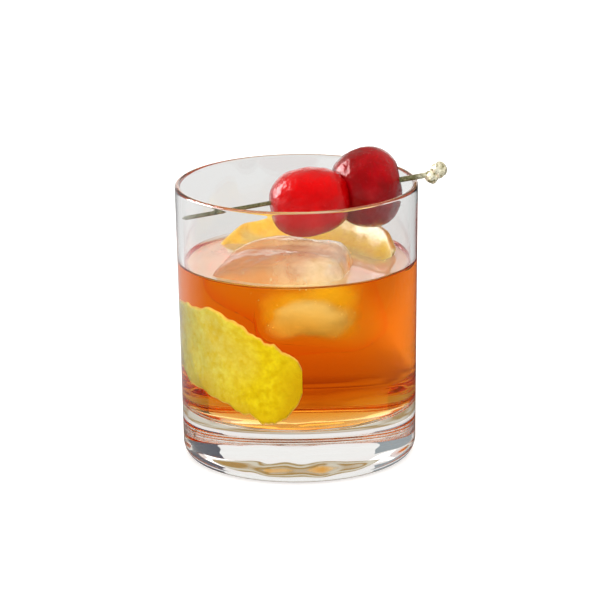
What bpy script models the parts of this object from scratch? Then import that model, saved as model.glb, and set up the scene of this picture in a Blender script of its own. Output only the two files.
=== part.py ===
# Old fashioned cocktail in a straight-sided rocks glass, with a block of ice, two strips of
# citrus peel and two cherries on a metal pick that lies across the rim.
# Metres, +Z up, +Y away from the viewer, origin at the centre of the glass's foot.
import math

import bmesh
import bpy
from mathutils import Matrix, Vector

MM = 0.001
GAP = 0.3 * MM  # air left between neighbouring pieces
ROUND_STEPS = 64  # facets round the glass

# Glass
GLASS_HEIGHT = 94.3 * MM
RIM_RADIUS = 41.0 * MM
FOOT_RADIUS = 39.7 * MM  # outer wall just above the rounded foot
RIM_WALL = 1.8 * MM
FOOT_ROUND_WIDTH = 3.8 * MM
FOOT_ROUND_HEIGHT = 5.2 * MM
FLOOR_HEIGHT = 17.5 * MM  # inside floor, over a thick base
FLOOR_ROUND = 4.5 * MM
INNER_TOP_RADIUS = 39.2 * MM
INNER_FLOOR_RADIUS = 37.3 * MM

# Drink
WALL_LEVEL = 68.8 * MM  # where the drink climbs the wall
OPEN_LEVEL = 67.2 * MM  # flat surface away from the wall
CLIMB_WIDTH = 3.0 * MM

# Ice block: corners by side (left or right, front or back) at its top and bottom faces
ICE_TOP = {
    ("left", "front"): (-19.0, -24.0, 73.4),
    ("right", "front"): (14.0, -27.0, 73.0),
    ("left", "back"): (-8.5, 3.0, 78.0),
    ("right", "back"): (17.0, -1.5, 75.0),
}
ICE_BOTTOM = {
    ("left", "front"): (-12.0, -27.0, 42.5),
    ("right", "front"): (21.0, -24.0, 41.0),
    ("left", "back"): (-10.0, -2.0, 44.5),
    ("right", "back"): (26.0, 0.0, 43.5),
}
ICE_TIP_REACH = 17.0  # mm that the left side juts out at the drink's level
ICE_FRONT_BELLY = 5.5  # mm that the front swells towards the glass

# Peel strips
PEEL_THICKNESS = 2.4 * MM
# Front peel on the wall, unrolled: millimetres of arc to the left of the front, lower edge, upper edge
FRONT_PEEL_STATIONS = (
    (-1.4, 32.5, 36.0),
    (0.6, 26.2, 42.4),
    (7.0, 22.4, 48.4),
    (15.0, 23.8, 53.6),
    (27.0, 27.6, 59.0),
    (43.0, 31.0, 57.2),
    (56.0, 35.0, 54.0),
    (63.0, 40.5, 48.0),
)
# Back peel: points along its far upper edge and along its near lower edge, in millimetres
BACK_PEEL_UPPER = (
    (-25.5, 21.0, 66.0),
    (-20.0, 26.0, 70.2),
    (-11.5, 29.0, 72.8),
    (2.0, 30.0, 74.4),
    (15.0, 26.5, 75.4),
    (25.0, 18.5, 76.0),
    (30.6, 9.5, 74.8),
    (33.2, 4.0, 70.0),
)
BACK_PEEL_LOWER = (
    (-24.0, 12.0, 64.5),
    (-17.0, 14.5, 65.6),
    (-8.5, 15.0, 66.0),
    (2.5, 13.5, 66.0),
    (12.0, 9.5, 65.8),
    (19.5, 3.5, 65.4),
    (24.5, -4.0, 65.0),
    (30.0, -6.0, 64.4),
)
BACK_PEEL_BOW = 3.2  # mm that the strip's middle sags away from the eye

# Pick: a straight pin from the left wall over the right rim
PICK_TIP = Vector((-37.7, -7.8, 84.2)) * MM
PICK_ON_RIM = Vector((40.1, -0.3, 95.6)) * MM
PICK_POINT_RADIUS = 0.22 * MM
PICK_SHAFT_RADIUS = 0.62 * MM
PICK_NECK_RADIUS = 0.95 * MM
PICK_POINT_LENGTH = 4.0 * MM
PICK_STEPS = 16
NECK_REACH = 6.0 * MM  # from the rim into the knob
# The cast knob's two lobes: distance past the rim, height over the pick's axis, half sizes, in mm
KNOB_LOBES = (
    {"past_rim": 5.3, "height": -1.0, "half": (2.3, 2.3, 2.3)},
    {"past_rim": 8.4, "height": 1.1, "half": (2.8, 2.8, 2.8)},
)

# Cherries: centre in mm; half sizes along the pick, across it and upright, in mm; fullness is
# the power of the rounded-box form, where 2 is an ellipsoid; lump is the height of the slow
# unevenness and turn shifts it round
CHERRY_LEFT = {
    "centre": (4.4, -4.6, 88.8),
    "half": (14.6, 11.8, 11.7),
    "fullness": 2.35,
    "lump": 0.03,
    "turn": 0.4,
}
CHERRY_RIGHT = {
    "centre": (24.5, 3.2, 91.7),
    "half": (12.4, 12.0, 13.5),
    "fullness": 2.15,
    "lump": 0.04,
    "turn": 2.3,
}
DIMPLE_DEPTH = 0.14  # share of the radius
DIMPLE_WIDTH = 0.42  # radians from the pick
CONTACT_SOFTNESS = 2.0 * MM  # depth over which a cherry flattens against the other
CONTACT_SHARE = 0.51  # of the way from the left centre to the right one


def clear_scene():
    for old in list(bpy.data.objects):
        bpy.data.objects.remove(old, do_unlink=True)


def make_collection(name):
    collection = bpy.data.collections.new(name)
    bpy.context.scene.collection.children.link(collection)
    return collection


def make_material(name, colour, roughness, metallic=0.0, transmission=0.0):
    material = bpy.data.materials.new(name)
    material.use_nodes = True
    shader = material.node_tree.nodes["Principled BSDF"]
    shader.inputs["Base Color"].default_value = (*colour, 1.0)
    shader.inputs["Roughness"].default_value = roughness
    shader.inputs["Metallic"].default_value = metallic
    shader.inputs["Transmission Weight"].default_value = transmission
    return material


def add_object(name, mesh, collection, material=None):
    piece = bpy.data.objects.new(name, mesh)
    collection.objects.link(piece)
    if material is not None:
        mesh.materials.append(material)
    return piece


def as_cutter(piece):
    piece.hide_render = True
    piece.display_type = "WIRE"
    return piece


def arc(centre_r, centre_z, size_r, size_z, start, end, count):
    # Points on an elliptical arc in the profile plane; angles in degrees, 0 along +R, 90 up
    points = []
    for i in range(count + 1):
        angle = math.radians(start + (end - start) * i / count)
        points.append((centre_r + size_r * math.cos(angle), centre_z + size_z * math.sin(angle)))
    return points


def profile_mesh(name, points):
    mesh = bpy.data.meshes.new(name)
    bm = bmesh.new()
    verts = [bm.verts.new((r, 0.0, z)) for r, z in points]
    for first, second in zip(verts, verts[1:]):
        bm.edges.new((first, second))
    bm.to_mesh(mesh)
    bm.free()
    return mesh


def turn(piece, steps):
    # Revolves a profile round Z; the profile runs down its outer side
    screw = piece.modifiers.new("Turned", "SCREW")
    screw.axis = "Z"
    screw.angle = math.tau
    screw.steps = steps
    screw.render_steps = steps
    screw.use_merge_vertices = True
    screw.merge_threshold = 0.00001
    screw.use_smooth_shade = True


def inner_radius(z):
    share = (z - FLOOR_HEIGHT) / (GLASS_HEIGHT - FLOOR_HEIGHT)
    return INNER_FLOOR_RADIUS + (INNER_TOP_RADIUS - INNER_FLOOR_RADIUS) * share


def make_glass(collection):
    fillet_z = FLOOR_HEIGHT + FLOOR_ROUND
    fillet_r = inner_radius(fillet_z) - FLOOR_ROUND
    bead = RIM_WALL / 2
    bead_z = GLASS_HEIGHT - bead
    points = [(0.0, FLOOR_HEIGHT)]
    points += arc(fillet_r, fillet_z, FLOOR_ROUND, FLOOR_ROUND, -90, 0, 5)
    points.append((inner_radius(WALL_LEVEL), WALL_LEVEL))
    points += arc(RIM_RADIUS - bead, bead_z, bead, bead, 180, 0, 6)
    points += arc(
        FOOT_RADIUS - FOOT_ROUND_WIDTH, FOOT_ROUND_HEIGHT, FOOT_ROUND_WIDTH, FOOT_ROUND_HEIGHT, 0, -90, 6
    )
    points.append((0.0, 0.0))
    material = make_material("clear_glass", (0.95, 0.96, 0.96), 0.03, transmission=1.0)
    glass = add_object("glass", profile_mesh("glass", points), collection, material)
    turn(glass, ROUND_STEPS)
    return glass


def make_drink(collection, cutters):
    wall = inner_radius(WALL_LEVEL) - GAP
    fillet_z = FLOOR_HEIGHT + FLOOR_ROUND
    fillet_r = inner_radius(fillet_z) - FLOOR_ROUND
    fillet = FLOOR_ROUND - GAP
    points = [
        (0.0, OPEN_LEVEL),
        (wall - CLIMB_WIDTH, OPEN_LEVEL),
        (wall - CLIMB_WIDTH * 0.35, OPEN_LEVEL + (WALL_LEVEL - OPEN_LEVEL) * 0.35),
        (wall, WALL_LEVEL),
    ]
    points += arc(fillet_r, fillet_z, fillet, fillet, 0, -90, 5)
    points.append((0.0, FLOOR_HEIGHT + GAP))
    material = make_material("amber_drink", (0.78, 0.30, 0.02), 0.05, transmission=0.7)
    drink = add_object("drink", profile_mesh("drink", points), collection, material)
    turn(drink, ROUND_STEPS)
    for cutter in cutters:
        cut = drink.modifiers.new("Cut_" + cutter.name, "BOOLEAN")
        cut.operation = "DIFFERENCE"
        cut.solver = "EXACT"
        cut.object = cutter
    return drink


def evaluated_mesh(piece):
    bpy.context.view_layer.update()
    depsgraph = bpy.context.evaluated_depsgraph_get()
    return bpy.data.meshes.new_from_object(piece.evaluated_get(depsgraph))


def grown_copy(piece, name, collection, distance):
    # The piece's surface moved out along its normals, to cut a neighbour with clearance
    mesh = evaluated_mesh(piece)
    mesh.name = name
    mesh.materials.clear()
    bm = bmesh.new()
    bm.from_mesh(mesh)
    bm.normal_update()
    moved = [(vert, vert.co + vert.normal * distance * vert.calc_shell_factor()) for vert in bm.verts]
    for vert, place in moved:
        vert.co = place
    bm.to_mesh(mesh)
    bm.free()
    return as_cutter(add_object(name, mesh, collection))


def ice_point(side, depth, height):
    # side, depth and height run from -1 to 1 over the block: a blend of its eight corners,
    # with the left side pulled to a tip and the front swollen
    place = Vector((0.0, 0.0, 0.0))
    for corners, high in ((ICE_TOP, (1 + height) / 2), (ICE_BOTTOM, (1 - height) / 2)):
        for (across, along), corner in corners.items():
            share = high * (1 + (side if across == "right" else -side)) / 2
            share *= (1 + (depth if along == "back" else -depth)) / 2
            place += Vector(corner) * share
    near_level = max(0.0, 1 - ((height - 0.45) / 0.8) ** 2)
    place.x -= ICE_TIP_REACH * max(0.0, -side) ** 2 * near_level * (1 - 0.5 * depth * depth)
    front = max(0.0, -depth) ** 2
    place.y -= ICE_FRONT_BELLY * front * near_level * (1 - side * side)
    return place * MM


def make_ice(collection):
    mesh = bpy.data.meshes.new("ice")
    bm = bmesh.new()
    bmesh.ops.create_cube(bm, size=2.0)
    bmesh.ops.subdivide_edges(bm, edges=bm.edges[:], cuts=2, use_grid_fill=True)
    for vert in bm.verts:
        vert.co = ice_point(*vert.co)
    bm.to_mesh(mesh)
    bm.free()
    material = make_material("clear_ice", (0.93, 0.84, 0.72), 0.08, transmission=0.9)
    ice = add_object("ice", mesh, collection, material)
    rounding = ice.modifiers.new("Melted", "SUBSURF")
    rounding.levels = 1
    rounding.render_levels = 1
    return ice


def smooth_path(points, share):
    # A point on the smooth curve through the given points, share from 0 to 1
    count = len(points) - 1
    place = min(share, 1.0) * count
    i = min(int(place), count - 1)
    t = place - i
    before = Vector(points[max(i - 1, 0)])
    start, end = Vector(points[i]), Vector(points[i + 1])
    after = Vector(points[min(i + 2, count)])
    return 0.5 * (
        2 * start
        + (end - before) * t
        + (2 * before - 5 * start + 4 * end - after) * t * t
        + (3 * start - before - 3 * end + after) * t * t * t
    )


def sheet(name, columns, rows, place_at):
    # An open grid bent by place_at(along, across), with both shares from 0 to 1
    mesh = bpy.data.meshes.new(name)
    bm = bmesh.new()
    bmesh.ops.create_grid(bm, x_segments=columns, y_segments=rows, size=1.0)
    for vert in bm.verts:
        vert.co = place_at((vert.co.x + 1) / 2, (vert.co.y + 1) / 2)
    bm.to_mesh(mesh)
    bm.free()
    return mesh


def thicken(piece, thickness, offset):
    solidify = piece.modifiers.new("Thickness", "SOLIDIFY")
    solidify.thickness = thickness
    solidify.offset = offset
    solidify.use_even_offset = True


def front_peel_sheet(name, clearance):
    # The strip's outer face, pressed on the glass; clearance widens its outline
    def place_at(along, across):
        station = smooth_path(FRONT_PEEL_STATIONS, along)
        middle, half = (station.y + station.z) / 2, (station.z - station.y) / 2
        z = (middle + half * (2 * across - 1)) * MM + clearance * (2 * across - 1)
        arc_length = station.x * MM + clearance * (2 * along - 1)
        radius = inner_radius(z) - GAP
        angle = arc_length / INNER_FLOOR_RADIUS
        return Vector((-radius * math.sin(angle), -radius * math.cos(angle), z))

    return sheet(name, 26, 8, place_at)


def make_front_peel(collection, material):
    peel = add_object("peel_front", front_peel_sheet("peel_front", 0.0), collection, material)
    thicken(peel, PEEL_THICKNESS, 1.0)
    return peel


def make_front_peel_cutter(collection):
    # Reaches from behind the peel out past the drink's side, so the pocket stays open
    cutter = add_object("peel_front_pocket", front_peel_sheet("peel_front_pocket", 2 * GAP), collection)
    thicken(cutter, 2 * (PEEL_THICKNESS + 2 * GAP), 0.0)
    return as_cutter(cutter)


def back_peel_point(along, across):
    upper = smooth_path(BACK_PEEL_UPPER, along)
    lower = smooth_path(BACK_PEEL_LOWER, along)
    sag = BACK_PEEL_BOW * 4 * across * (1 - across)
    away = Vector((0.25, 0.75, -0.6)).normalized()
    return (lower.lerp(upper, across) + away * sag) * MM


def make_back_peel(collection, material):
    mesh = sheet("peel_back", 24, 7, back_peel_point)
    peel = add_object("peel_back", mesh, collection, material)
    thicken(peel, PEEL_THICKNESS, 0.0)
    return peel


def pick_frame():
    # Local Z along the pick, from its tip to its knob
    along = (PICK_ON_RIM - PICK_TIP).normalized()
    across = Vector((0.0, 0.0, 1.0)).cross(along).normalized()
    upright = along.cross(across)
    turn_matrix = Matrix((across, upright, along)).transposed().to_4x4()
    return Matrix.Translation(PICK_TIP) @ turn_matrix


def make_lobe(lobe, index, collection):
    mesh = bpy.data.meshes.new(f"knob_lobe_{index}")
    bm = bmesh.new()
    bmesh.ops.create_uvsphere(bm, u_segments=16, v_segments=9, radius=1.0)
    bmesh.ops.scale(bm, verts=bm.verts[:], vec=Vector(lobe["half"]) * MM)
    past_tip = (PICK_ON_RIM - PICK_TIP).length + lobe["past_rim"] * MM
    bmesh.ops.translate(bm, verts=bm.verts[:], vec=(0.0, lobe["height"] * MM, past_tip))
    bm.to_mesh(mesh)
    bm.free()
    solid = as_cutter(add_object(mesh.name, mesh, collection))
    solid.matrix_world = pick_frame()
    return solid


def make_pick(collection, guides):
    rim_at = (PICK_ON_RIM - PICK_TIP).length
    points = [
        (0.0, rim_at + NECK_REACH),
        (PICK_NECK_RADIUS, rim_at + NECK_REACH),
        (PICK_NECK_RADIUS, rim_at),
        (PICK_SHAFT_RADIUS, rim_at * 0.35),
        (PICK_SHAFT_RADIUS, PICK_POINT_LENGTH),
        (PICK_POINT_RADIUS, 0.0),
        (0.0, 0.0),
    ]
    material = make_material("pale_brass", (0.62, 0.55, 0.36), 0.28, metallic=1.0)
    pick = add_object("pick", profile_mesh("pick", points), collection, material)
    turn(pick, PICK_STEPS)
    pick.matrix_world = pick_frame()
    for index, lobe in enumerate(KNOB_LOBES):
        join = pick.modifiers.new(f"Lobe_{index}", "BOOLEAN")
        join.operation = "UNION"
        join.solver = "EXACT"
        join.object = make_lobe(lobe, index, guides)
    return pick


def contact_plane():
    # Halfway between the two cherries, facing from the left one to the right one
    left, right = Vector(CHERRY_LEFT["centre"]) * MM, Vector(CHERRY_RIGHT["centre"]) * MM
    facing = (right - left).normalized()
    return left.lerp(right, CONTACT_SHARE), facing


def cherry_radius(direction, shape):
    # Share of the half sizes: fuller than an ellipsoid, with slow lumps all round and a dent
    # where the pick goes in and out
    power = shape["fullness"]
    full = sum(abs(part) ** power for part in direction) ** (-1 / power)
    lump = math.sin(3.2 * direction.y + shape["turn"]) * math.cos(2.4 * direction.z + shape["turn"])
    lump += 0.5 * math.sin(4.2 * direction.x + 3.1 * direction.z + shape["turn"])
    from_pick = math.acos(min(1.0, abs(direction.x)))
    dimple = math.exp(-((from_pick / DIMPLE_WIDTH) ** 2))
    return full + shape["lump"] * lump * (1 - dimple) - DIMPLE_DEPTH * dimple


def make_cherry(name, shape, side, collection, hole_cutter, material):
    # side is -1 for the cherry behind the contact plane and +1 for the one past it
    mesh = bpy.data.meshes.new(name)
    bm = bmesh.new()
    bmesh.ops.create_uvsphere(bm, u_segments=24, v_segments=14, radius=1.0)
    frame = pick_frame()
    frame.translation = Vector(shape["centre"]) * MM
    along_first = Matrix.Rotation(math.radians(90), 4, "Y")
    point_on_plane, facing = contact_plane()
    for vert in bm.verts:
        direction = vert.co.normalized()
        size = cherry_radius(direction, shape) * MM
        local = Vector([size * half * part for half, part in zip(shape["half"], direction)])
        place = frame @ (along_first @ local)
        past = -side * (place - point_on_plane).dot(facing) + GAP / 2
        if past > -CONTACT_SOFTNESS:
            pressed = -CONTACT_SOFTNESS * math.exp(-(past / CONTACT_SOFTNESS + 1))
            place += side * facing * (past - pressed)
        vert.co = place
    bmesh.ops.recalc_face_normals(bm, faces=bm.faces[:])
    bm.to_mesh(mesh)
    bm.free()
    mesh.shade_smooth()
    cherry = add_object(name, mesh, collection, material)
    hole = cherry.modifiers.new("Pick_hole", "BOOLEAN")
    hole.operation = "DIFFERENCE"
    hole.solver = "EXACT"
    hole.object = hole_cutter
    return cherry


def make_pick_hole(collection):
    # Clears the shaft where it passes through the cherries
    mesh = bpy.data.meshes.new("pick_hole")
    bm = bmesh.new()
    length = (PICK_ON_RIM - PICK_TIP).length
    radius = PICK_NECK_RADIUS + GAP
    bmesh.ops.create_cone(
        bm, cap_ends=True, segments=PICK_STEPS, radius1=radius, radius2=radius, depth=length * 1.2
    )
    bmesh.ops.translate(bm, verts=bm.verts[:], vec=(0.0, 0.0, length / 2))
    bm.to_mesh(mesh)
    bm.free()
    cutter = as_cutter(add_object("pick_hole", mesh, collection))
    cutter.matrix_world = pick_frame()
    return cutter


def main():
    clear_scene()
    parts = make_collection("old_fashioned_cocktail")
    cutters = make_collection("cutters")
    make_glass(parts)
    ice = make_ice(parts)
    peel_material = make_material("citrus_peel", (0.85, 0.62, 0.06), 0.45)
    make_front_peel(parts, peel_material)
    back_peel = make_back_peel(parts, peel_material)
    drink_cutters = [
        grown_copy(ice, "ice_space", cutters, GAP),
        grown_copy(back_peel, "peel_back_space", cutters, GAP),
        make_front_peel_cutter(cutters),
    ]
    make_drink(parts, drink_cutters)
    make_pick(parts, cutters)
    pick_hole = make_pick_hole(cutters)
    cherry_material = make_material("cherry_red", (0.55, 0.0, 0.02), 0.15)
    make_cherry("cherry_left", CHERRY_LEFT, -1, parts, pick_hole, cherry_material)
    make_cherry("cherry_right", CHERRY_RIGHT, 1, parts, pick_hole, cherry_material)


main()
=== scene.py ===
import math

import bmesh
import bpy
import numpy as np
from mathutils import Matrix, Vector


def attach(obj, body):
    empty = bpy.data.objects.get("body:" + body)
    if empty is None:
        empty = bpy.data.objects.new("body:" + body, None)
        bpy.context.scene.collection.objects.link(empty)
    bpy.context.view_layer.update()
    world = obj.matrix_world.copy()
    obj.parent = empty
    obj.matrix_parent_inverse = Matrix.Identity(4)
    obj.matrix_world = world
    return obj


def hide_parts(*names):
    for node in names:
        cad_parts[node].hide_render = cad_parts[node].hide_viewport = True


# Old fashioned cocktail: the looks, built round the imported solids.
# Sizes in the pieces' settings are millimetres, and in the studio's metres; every mesh is in
# metres, with its origin at the glass's foot.

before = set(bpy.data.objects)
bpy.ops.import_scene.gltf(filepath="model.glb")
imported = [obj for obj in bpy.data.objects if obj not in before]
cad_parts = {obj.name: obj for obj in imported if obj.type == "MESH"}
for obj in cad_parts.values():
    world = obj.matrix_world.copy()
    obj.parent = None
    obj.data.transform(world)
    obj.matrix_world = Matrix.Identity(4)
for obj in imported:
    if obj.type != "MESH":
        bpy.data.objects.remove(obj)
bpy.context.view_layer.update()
mm = 0.001
tau = 2 * math.pi


# Shared mesh helpers
def signedVolume(points, faces):
    # Sum of the tetrahedra from the origin to each face's two triangles
    a, b, c, d = (points[faces[:, i]] for i in range(4))
    return float((np.cross(a, b) * c).sum() + (np.cross(a, c) * d).sum()) / 6


def closedGrid(rings):
    # Rings (rows, columns, 3) joined to their neighbours, each row closed on itself, and the first
    # and last row drawn to a pole at their own middle
    rows, columns = rings.shape[:2]
    r, c = np.meshgrid(np.arange(rows - 1), np.arange(columns), indexing="ij")
    a, b = r * columns + c, r * columns + (c + 1) % columns
    quads = np.stack([a, b, b + columns, a + columns], -1).reshape(-1, 4)
    points = np.concatenate([rings.reshape(-1, 3), [rings[0].mean(0)], [rings[-1].mean(0)]])
    here = np.arange(columns)
    there = (here + 1) % columns
    first, last = rows * columns, rows * columns + 1
    top = np.stack([np.full(columns, first), there, here], -1)
    foot = (rows - 1) * columns
    bottom = np.stack([np.full(columns, last), foot + here, foot + there], -1)
    if signedVolume(points, quads) < 0:
        quads, top, bottom = quads[:, ::-1], top[:, ::-1], bottom[:, ::-1]
    return points, quads.tolist() + top.tolist() + bottom.tolist()


def addObject(name, data):
    # Mesh, lamp or camera data as an object of the scene
    item = bpy.data.objects.new(name, data)
    bpy.context.scene.collection.objects.link(item)
    return item


def addMesh(name, points, faces, material=None):
    # Points in metres
    mesh = bpy.data.meshes.new(name)
    mesh.from_pydata(points.tolist(), [], faces)
    mesh.polygons.foreach_set("use_smooth", np.ones(len(mesh.polygons), bool))
    mesh.update()
    if material:
        mesh.materials.append(material)
    return addObject(name, mesh)


def makePiece(name, points, faces, material, node=None):
    # Points in millimetres become a smooth-shaded piece that rides on the body
    piece = addMesh(name, points * mm, faces, material)
    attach(piece, "root")
    if node:
        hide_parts(node)
    return piece


def giveAttribute(piece, name, values, poles=()):
    # One number for each grid point, and for the two poles, for the material to read
    layer = piece.data.attributes.new(name, "FLOAT", "POINT")
    layer.data.foreach_set("value", np.append(values, poles).astype(np.float32))


def waves(points, count, length, seed):
    # Sum of sine waves in seeded directions, about -1 to 1; length is the wavelength in mm
    rng = np.random.default_rng(seed)
    total = np.zeros(points.shape[:-1])
    for _ in range(count):
        way = rng.normal(size=3)
        way *= tau / (length * rng.uniform(0.7, 1.5)) / np.linalg.norm(way)
        total += np.sin(points @ way + rng.uniform(0, tau))
    return total / math.sqrt(count)


def gridNormals(rings):
    # Cross product of the steps along the rows and round the columns, pointing outward
    along = np.gradient(rings, axis=0)
    around = (np.roll(rings, -1, 1) - np.roll(rings, 1, 1)) / 2
    normal = np.cross(around, along)
    normal /= np.maximum(np.linalg.norm(normal, axis=-1, keepdims=True), 1e-9)
    outward = rings - rings.reshape(-1, 3).mean(0)
    return normal * (1.0 if (normal * outward).sum() > 0 else -1.0)


def ballOf(theta, columns):
    # Unit vectors at each angle from the pole: (sin t cos f, sin t sin f, cos t)
    phi = (np.arange(columns) * tau / columns)[None]
    out = np.sin(theta)
    return np.stack([out * np.cos(phi), out * np.sin(phi), np.cos(theta) + 0 * phi], -1)


def turned(profile, around):
    # (r, z) carried round Z: (r cos t, r sin t, z)
    t = np.arange(around) * tau / around
    r, z = profile[:, :1], profile[:, 1:]
    return np.stack([r * np.cos(t), r * np.sin(t), z + 0 * t], -1)


def arcPoints(centreR, centreZ, sizeR, sizeZ, start, end, count):
    # Elliptical arc in the profile plane; degrees, 0 along +R and 90 up
    t = np.radians(np.linspace(start, end, count))
    return np.stack([centreR + sizeR * np.cos(t), centreZ + sizeZ * np.sin(t)], -1)


def smoothPath(points, share):
    # Catmull-Rom curve through the points at each share from 0 to 1
    points = np.asarray(points, float)
    last = len(points) - 1
    place = np.clip(share, 0, 1) * last
    i = np.minimum(place.astype(int), last - 1)
    t = (place - i)[..., None]
    p0, p1 = points[np.maximum(i - 1, 0)], points[i]
    p2, p3 = points[i + 1], points[np.minimum(i + 2, last)]
    return 0.5 * (2 * p1 + (p2 - p0) * t + (2 * p0 - 5 * p1 + 4 * p2 - p3) * t ** 2
                  + (3 * p1 - p0 - 3 * p2 + p3) * t ** 3)


# Shared material helpers
def newMaterial(name):
    # Material, its empty node tree, and object coordinates, in metres
    material = bpy.data.materials.new(name)
    material.use_nodes = True
    tree = material.node_tree
    tree.nodes.clear()
    return material, tree, addNode(tree, "TexCoord").outputs["Object"]


def addNode(tree, kind, inputs=None, **settings):
    # One shader node; an input may be a value or another node's output
    item = tree.nodes.new("ShaderNode" + kind)
    for key, value in settings.items():
        setattr(item, key, value)
    for key, value in (inputs or {}).items():
        if isinstance(value, bpy.types.NodeSocket):
            tree.links.new(value, item.inputs[key])
        else:
            item.inputs[key].default_value = value
    return item


def rampOf(tree, fac, stops):
    # Colour ramp over (position, (r, g, b)) stops
    item = addNode(tree, "ValToRGB", {"Fac": fac})
    band = item.color_ramp
    while len(band.elements) < len(stops):
        band.elements.new(0.5)
    for element, (place, colour) in zip(band.elements, stops):
        element.position = place
        element.color = (*colour, 1)
    return item.outputs["Color"]


def noiseOf(tree, coords, scale, detail=2.0, roughness=0.5, distortion=0.0):
    # Noise about 0.5, scale in features per metre
    return addNode(tree, "TexNoise", {"Vector": coords, "Scale": scale, "Detail": detail,
                                      "Roughness": roughness, "Distortion": distortion}).outputs["Fac"]


def mixOf(tree, fac, first, second, blend="MIX"):
    # First colour at 0, second (or their blend) at 1
    item = addNode(tree, "Mix", data_type="RGBA", blend_type=blend)
    for socket, value in ((item.inputs[0], fac), (item.inputs[6], first), (item.inputs[7], second)):
        if isinstance(value, bpy.types.NodeSocket):
            tree.links.new(value, socket)
        else:
            socket.default_value = value if isinstance(value, (int, float)) else (*value, 1)
    return item.outputs[2]


def rangeOf(tree, value, low, high, toLow=0.0, toHigh=1.0):
    # Straight line from (low, toLow) to (high, toHigh), held level beyond both
    return addNode(tree, "MapRange", {"Value": value, "From Min": low, "From Max": high,
                                      "To Min": toLow, "To Max": toHigh}).outputs["Result"]


def mathOf(tree, kind, first, *others):
    # First with the second, their result with the third, and so on
    for other in others:
        first = addNode(tree, "Math", {0: first, 1: other}, operation=kind).outputs[0]
    return first


def bumpOf(tree, height, strength, distance):
    # Normal tilted by the height's slope; strength 0 to 1, distance in metres
    return addNode(tree, "Bump", {"Height": height, "Strength": strength, "Distance": distance}).outputs[0]


def radiusOf(tree, x, y):
    # Distance from the Z axis
    flat = addNode(tree, "CombineXYZ", {0: x, 1: y}).outputs[0]
    return addNode(tree, "VectorMath", {0: flat}, operation="LENGTH").outputs["Value"]


def attributeOf(tree, name):
    # A number that the mesh carries at each point
    return addNode(tree, "Attribute", attribute_name=name).outputs["Fac"]


def facingOf(tree):
    # 0 where a surface faces the eye, 1 where it turns away
    return addNode(tree, "LayerWeight", {"Blend": 0.5}).outputs["Facing"]


def finishSurface(material, inputs, volume=None, lampsPass=False):
    # One principled shader to the output; where lamps pass, shadow rays cross the surface as if it
    # weren't there
    tree = material.node_tree
    shader = addNode(tree, "BsdfPrincipled", inputs).outputs[0]
    if lampsPass:
        rays = addNode(tree, "LightPath")
        clear = addNode(tree, "BsdfTransparent")
        shader = addNode(tree, "MixShader", {0: rays.outputs["Is Shadow Ray"], 1: shader,
                                             2: clear.outputs[0]}).outputs[0]
    output = addNode(tree, "OutputMaterial", {"Surface": shader})
    if volume:
        tree.links.new(volume, output.inputs["Volume"])
    return material


# Glass
glassSettings = {
    "height": 94.3, "rimRadius": 41.0, "footRadius": 39.7, "rimWall": 1.8,
    "footRoundWidth": 3.8, "footRoundHeight": 5.2, "footHollow": 2.4, "footRing": 30.0,
    "floorHeight": 17.5, "floorRound": 4.5, "innerTop": 39.2, "innerFloor": 37.3,
    "around": 288, "index": 1.5, "baseWaves": 0.22, "baseWaveLength": 8.0, "wavesFade": 8.0,
    "wetRadius": 39.4, "wetTop": 68.8, "wetFoot": 15.0, "tint": ((0.985, 0.995, 0.992), (1.0, 1.0, 1.0)),
}


def innerRadius(z):
    # Straight line from the inner floor's radius to the rim's
    g = glassSettings
    share = (z - g["floorHeight"]) / (g["height"] - g["floorHeight"])
    return g["innerFloor"] + (g["innerTop"] - g["innerFloor"]) * share


def glassMaterial():
    # Clear glass with slow ripples. Against liquid it hardly mirrors, so the wetted inner wall has
    # no specular tint
    g = glassSettings
    material, tree, coords = newMaterial("clearGlass")
    x, y, z = addNode(tree, "SeparateXYZ", {0: coords}).outputs
    dry = mathOf(tree, "MAXIMUM", mathOf(tree, "GREATER_THAN", radiusOf(tree, x, y), g["wetRadius"] * mm),
                 mathOf(tree, "GREATER_THAN", z, g["wetTop"] * mm),
                 mathOf(tree, "LESS_THAN", z, g["wetFoot"] * mm))
    return finishSurface(material, {
        "Base Color": mixOf(tree, noiseOf(tree, coords, 20, 1.0), *g["tint"]), "Roughness": 0.0,
        "IOR": g["index"], "Transmission Weight": 1.0,
        "Normal": bumpOf(tree, noiseOf(tree, coords, 55, 1.0), 0.05, 0.0006),
        "Specular Tint": mixOf(tree, dry, (0, 0, 0), (1, 1, 1))}, lampsPass=True)


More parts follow.
